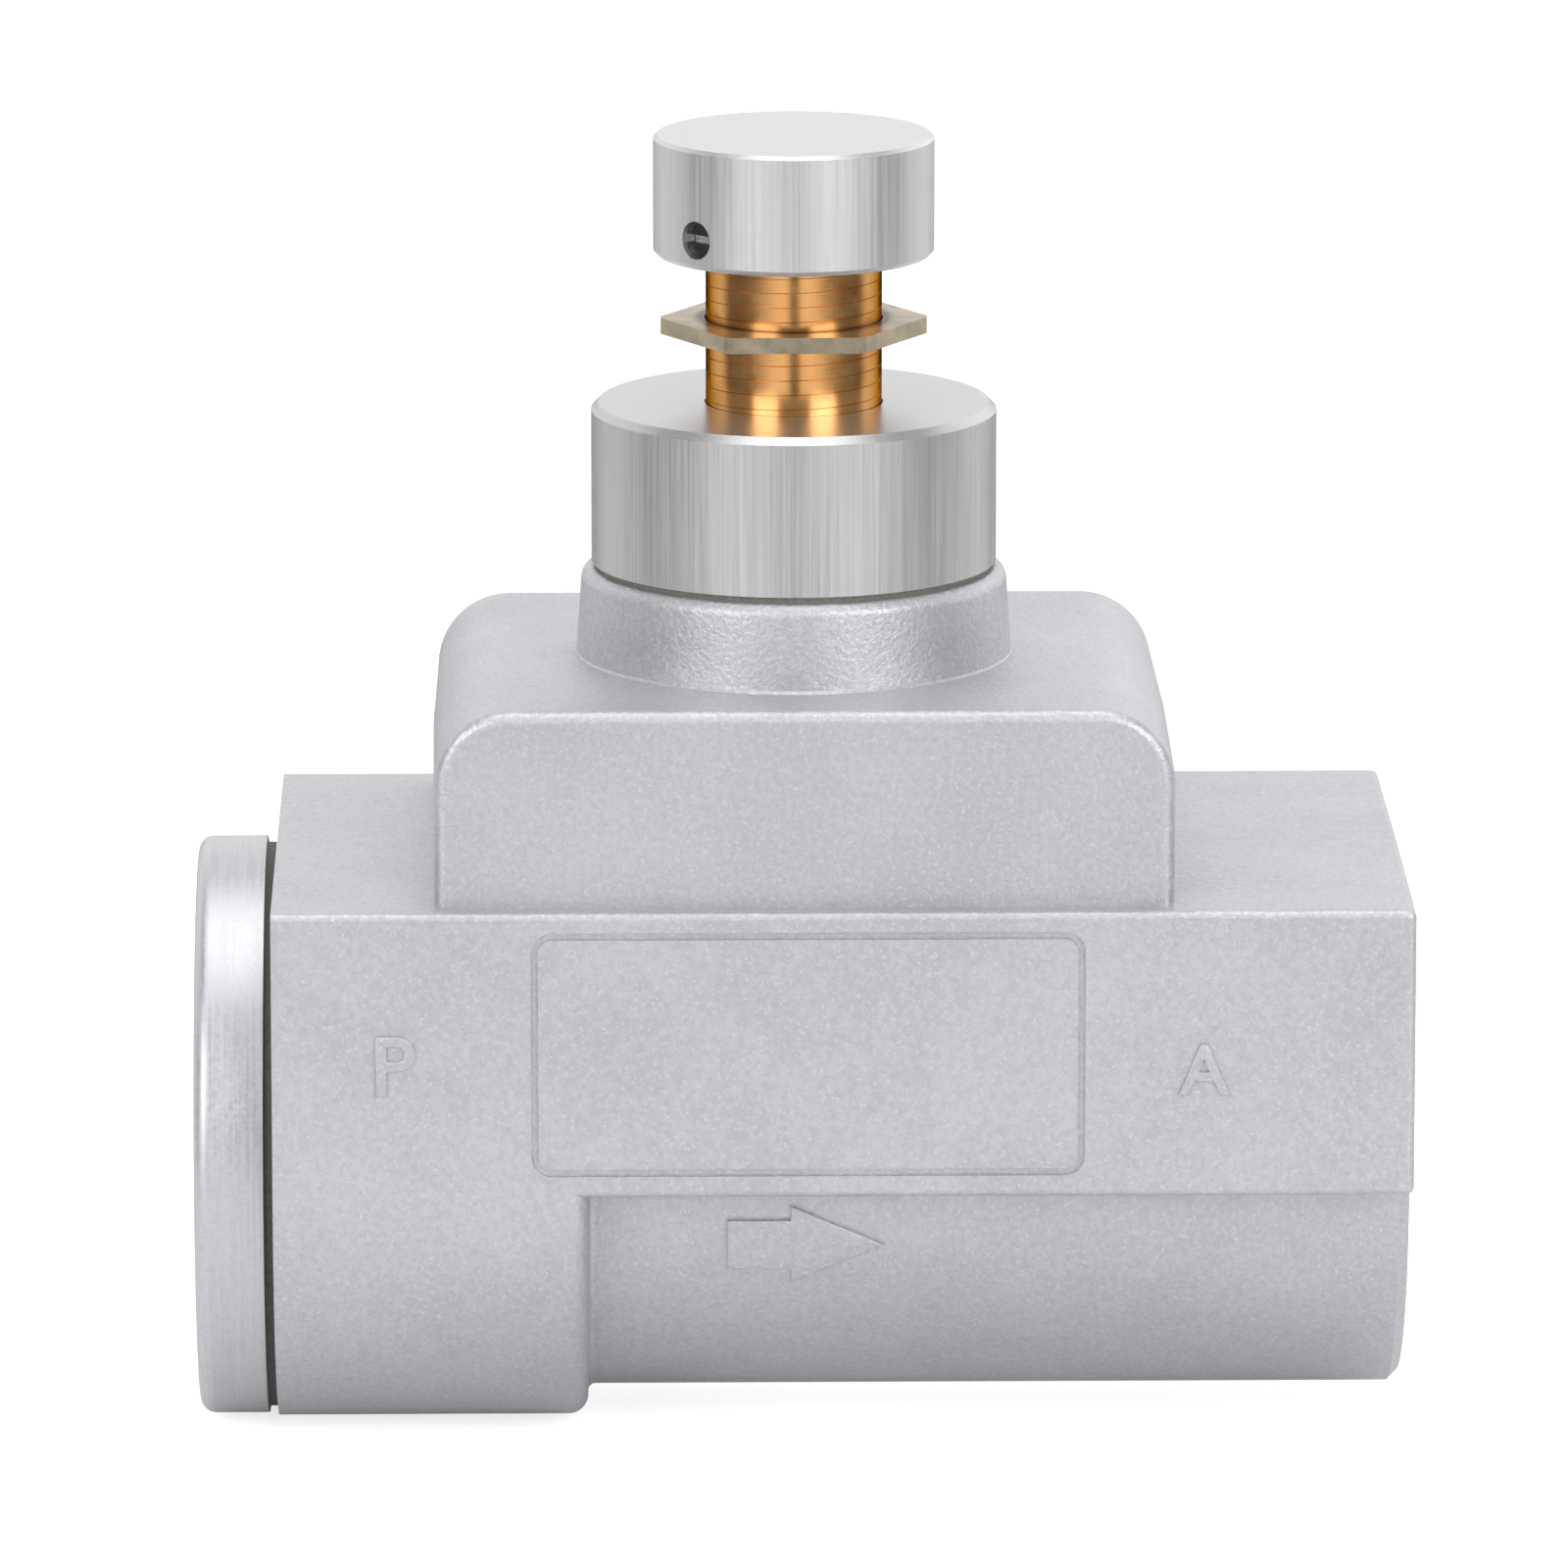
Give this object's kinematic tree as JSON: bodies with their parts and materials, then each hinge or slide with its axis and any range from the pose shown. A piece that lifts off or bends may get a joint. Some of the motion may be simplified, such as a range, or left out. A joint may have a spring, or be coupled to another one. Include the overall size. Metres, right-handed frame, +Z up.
{
  "type": "one-way flow control valve",
  "caption": "Inline pneumatic throttle valve with built-in check valve: die-cast body with threaded pipe ports, round end cap, turned gland, brass screw stem, thin locknut and round knob.",
  "frame": {"origin": "centre of the inlet port's mouth, on the end cap's outer face", "axes": "+X along the flow from the inlet to the outlet, +Z up the stem towards the knob, -Y the side that the picture shows"},
  "size_m": [0.0822, 0.045, 0.0887],
  "materials": {
    "cast_alloy": "blasted",
    "cap_alloy": "satin",
    "turned_alloy": "turned",
    "stem_brass": "turned",
    "plated_steel": "zinc plated",
    "screw_steel": "bright",
    "spring_steel": "bright",
    "seal_rubber": "matte",
    "poppet_plastic": "moulded"
  },
  "bodies": {
    "body": {"valve_body": "cast_alloy", "end_cap": "cap_alloy", "end_cap_seal": "seal_rubber", "check_spring": "spring_steel", "gland": "turned_alloy", "gland_seal": "seal_rubber"},
    "sliding_seal": {"stem_seal": "seal_rubber"},
    "stem": {"stem": "stem_brass", "knob": "turned_alloy", "knob_set_screw": "screw_steel"},
    "locknut": {"locknut": "plated_steel"},
    "poppet": {"check_poppet": "poppet_plastic", "check_poppet_seal": "seal_rubber"}
  },
  "joints": [
    {"name": "stem_travel", "type": "slide", "parent": "body", "child": "sliding_seal", "axis": [0, 0, 1], "range_m": [-0.004, 0.002]},
    {"name": "stem_turn", "type": "hinge", "parent": "sliding_seal", "child": "stem", "pos_m": [0.0408, 0, 0.0607], "axis": [0, 0, 1], "range_deg": [-1440, 720]},
    {"name": "locknut_travel", "type": "slide", "parent": "body", "child": "locknut", "axis": [0, 0, 1], "range_m": [-0.00465, 0]},
    {"name": "check_travel", "type": "slide", "parent": "body", "child": "poppet", "axis": [1, 0, 0], "range_m": [-0.004, 0], "stiffness_N_per_m": 400, "springref_m": 0.006, "deforming": ["check_spring"]}
  ],
  "couplings": [
    {"joint": "stem_turn", "follows": "stem_travel", "rad_per_m": 6283.2}
  ]
}
